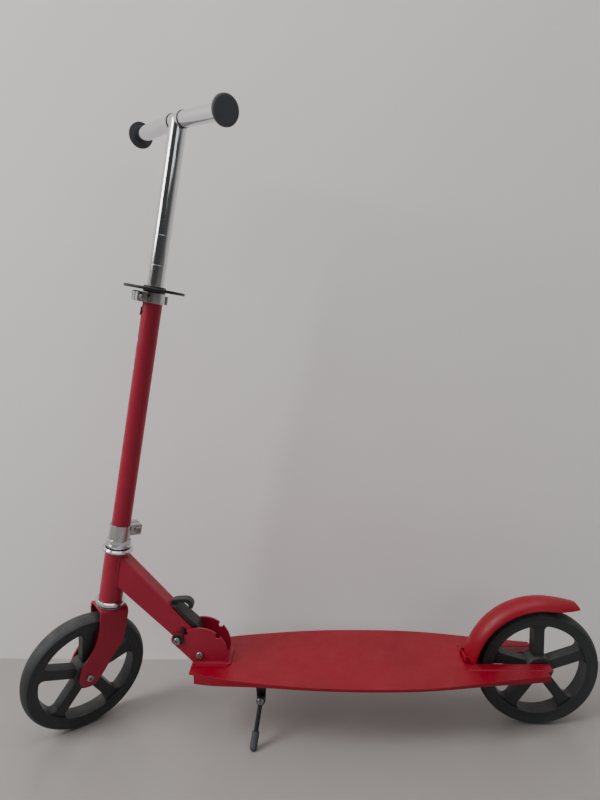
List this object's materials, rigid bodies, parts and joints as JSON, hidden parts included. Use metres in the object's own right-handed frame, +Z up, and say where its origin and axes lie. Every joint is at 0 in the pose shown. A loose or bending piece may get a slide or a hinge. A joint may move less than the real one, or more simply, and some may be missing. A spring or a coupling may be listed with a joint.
{
  "type": "kick scooter",
  "caption": "Folding kick scooter with large wheels, standing deck, telescopic handlebar, foot-brake mudguard and kickstand.",
  "frame": {"origin": "centre of the bounding box, on the floor", "axes": "-X is the direction of travel, -Y is the rider's left, +Z is up; the scooter leans three degrees onto its kickstand"},
  "size_m": [0.9318, 0.2406, 0.999],
  "materials": {
    "red_deck": "satin powder coat",
    "red_tube": "satin powder coat",
    "black_wheel": "moulded plastic",
    "black_tyre": "cast polyurethane",
    "black_plastic": "satin",
    "black_rubber": "matt",
    "chrome": "polished",
    "zinc_steel": "zinc plated",
    "clamp_alloy": "brushed",
    "black_steel": "black coated",
    "white_plastic": "nylon"
  },
  "bodies": {
    "deck": {"deck_plate": "red_deck", "deck_beam": "red_deck", "rear_arm_right": "red_deck", "rear_arm_left": "red_deck", "bracket_base": "red_tube", "side_plate_right": "red_tube", "side_plate_left": "red_tube", "bracket_bolts": "zinc_steel", "bracket_nuts": "zinc_steel", "stop_bush": "white_plastic", "stop_washers": "black_plastic", "rear_axle_bolt": "zinc_steel", "rear_axle_screw": "zinc_steel", "rear_axle_washers": "zinc_steel", "fender_pin": "zinc_steel", "fender_spring": "zinc_steel", "kickstand_bracket": "black_steel", "kickstand_bolts": "zinc_steel", "kickstand_spring": "zinc_steel"},
    "mudguard": {"rear_fender": "red_deck"},
    "rear_wheel": {"rear_wheel_core": "black_wheel", "rear_tyre": "black_tyre", "rear_bearings": "zinc_steel"},
    "kickstand": {"kickstand_leg": "black_steel", "kickstand_foot": "black_rubber"},
    "stem_frame": {"down_tube": "red_tube", "pivot_sleeve": "zinc_steel", "lock_spring": "zinc_steel", "head_tube": "red_tube", "headset_cups": "chrome", "headset_balls": "zinc_steel"},
    "lock_catch": {"lock_slide": "black_plastic", "lock_pin": "black_steel"},
    "steering": {"crown_race": "zinc_steel", "headset_locknut": "chrome", "fork": "red_tube", "steerer": "zinc_steel", "front_axle_bolt": "zinc_steel", "front_axle_screw": "zinc_steel", "front_axle_spacers": "zinc_steel", "stem_tube": "red_tube", "lower_collar": "clamp_alloy", "lower_collar_bolt": "zinc_steel", "upper_collar": "clamp_alloy", "clamp_skewer": "zinc_steel", "clamp_nut": "zinc_steel"},
    "front_wheel": {"front_wheel_core": "black_wheel", "front_tyre": "black_tyre", "front_bearings": "zinc_steel"},
    "clamp_lever_body": {"clamp_lever": "clamp_alloy"},
    "strap_plate_body": {"strap_plate": "black_plastic"},
    "handlebar": {"inner_tube": "chrome", "tee_sleeve": "chrome", "bar_right": "chrome", "bar_left": "chrome", "bar_end_caps": "black_rubber", "bar_seam_rings": "black_rubber", "snap_spring": "zinc_steel"},
    "height_button": {"snap_button": "black_steel"}
  },
  "joints": [
    {"name": "rear_wheel_spin", "type": "hinge", "parent": "deck", "child": "rear_wheel", "pos_m": [0.36589, 0.03688, 0.09989], "axis": [0, 0.9986, 0.0523], "continuous": true},
    {"name": "fender_brake", "type": "hinge", "parent": "deck", "child": "mudguard", "pos_m": [0.2519, 0.03676, 0.10207], "axis": [0, 0.9986, 0.0523], "range_deg": [0, 5.6], "stiffness_Nm_per_rad": 4, "springref_deg": -6.88},
    {"name": "kickstand_fold", "type": "hinge", "parent": "deck", "child": "kickstand", "pos_m": [-0.09016, -0.00832, 0.06422], "axis": [0.0008, -0.9023, 0.4311], "range_deg": [0, 98]},
    {"name": "stem_fold", "type": "hinge", "parent": "deck", "child": "stem_frame", "pos_m": [-0.19206, 0.03536, 0.12875], "axis": [0, 0.9986, 0.0523], "range_deg": [0, 75]},
    {"name": "lock_catch_slide", "type": "slide", "parent": "stem_frame", "child": "lock_catch", "axis": [-0.6674, -0.039, 0.7437], "range_m": [-0.0065, 0]},
    {"name": "steering_turn", "type": "hinge", "parent": "stem_frame", "child": "steering", "pos_m": [-0.33486, 0.02884, 0.2532], "axis": [0.185, -0.0514, 0.9814], "range_deg": [-131, 49]},
    {"name": "front_wheel_spin", "type": "hinge", "parent": "steering", "child": "front_wheel", "pos_m": [-0.38427, 0.01938, 0.09899], "axis": [-0.6447, 0.7473, 0.1607], "continuous": true},
    {"name": "clamp_lever_turn", "type": "hinge", "parent": "steering", "child": "clamp_lever_body", "pos_m": [-0.27685, 0.00183, 0.7111], "axis": [0.185, -0.0514, 0.9814], "range_deg": [0, 120]},
    {"name": "strap_plate_spin", "type": "hinge", "parent": "steering", "child": "strap_plate_body", "pos_m": [-0.24707, 0.00444, 0.71887], "axis": [0.185, -0.0514, 0.9814], "continuous": true},
    {"name": "handlebar_height", "type": "slide", "parent": "steering", "child": "handlebar", "axis": [0.185, -0.0514, 0.9814], "range_m": [-0.089, 0]},
    {"name": "height_button_press", "type": "slide", "parent": "handlebar", "child": "height_button", "axis": [-0.9447, -0.2846, 0.1632], "range_m": [0, 0.0044]}
  ]
}
